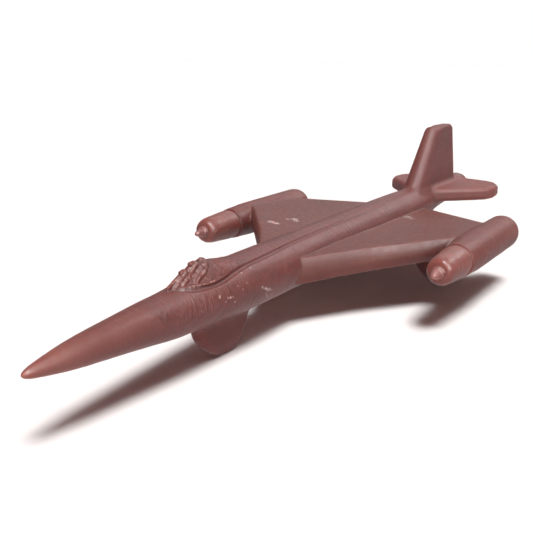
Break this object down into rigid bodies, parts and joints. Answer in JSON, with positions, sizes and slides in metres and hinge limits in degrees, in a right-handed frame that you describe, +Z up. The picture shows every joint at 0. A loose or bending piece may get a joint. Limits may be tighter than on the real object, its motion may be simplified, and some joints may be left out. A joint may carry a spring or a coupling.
{
  "type": "toy airplane",
  "caption": "Miniature moulded plastic jet aeroplane with a needle nose, framed canopy, swept wings carrying tip tanks, a tall fin and lug legs that it stands on.",
  "frame": {"origin": "on the ground midway along the length and on the middle line, so the legs stand at Z = 0", "axes": "+Z up; the nose points to -Y; the aeroplane's left wing is towards +X"},
  "size_m": [0.0186, 0.048, 0.0095],
  "materials": {
    "body_plastic": "soft-sheen maroon-brown moulded plastic, slightly translucent, with fine tool marks across the grain of the fuselage",
    "canopy_plastic": "the same plastic, unpainted, with raised lumpy frames",
    "wing_plastic": "the same plastic with a smooth dusty sheen and a few pale scuffs",
    "tank_plastic": "the same plastic, slightly glossier, with pale specks",
    "tail_plastic": "the same plastic with soft rounded edges",
    "leg_plastic": "the same plastic, smooth sides"
  },
  "bodies": {
    "root": {"fuselage": "body_plastic", "canopy": "canopy_plastic", "dorsal_spine": "body_plastic", "left_wing": "wing_plastic", "right_wing": "wing_plastic", "left_tank_body": "tank_plastic", "right_tank_body": "tank_plastic", "left_tank_nose": "tank_plastic", "right_tank_nose": "tank_plastic", "left_tank_tip": "tank_plastic", "right_tank_tip": "tank_plastic", "fin": "tail_plastic", "left_tailplane": "tail_plastic", "right_tailplane": "tail_plastic", "nose_leg": "leg_plastic", "left_main_leg": "leg_plastic", "right_main_leg": "leg_plastic"}
  },
  "joints": []
}
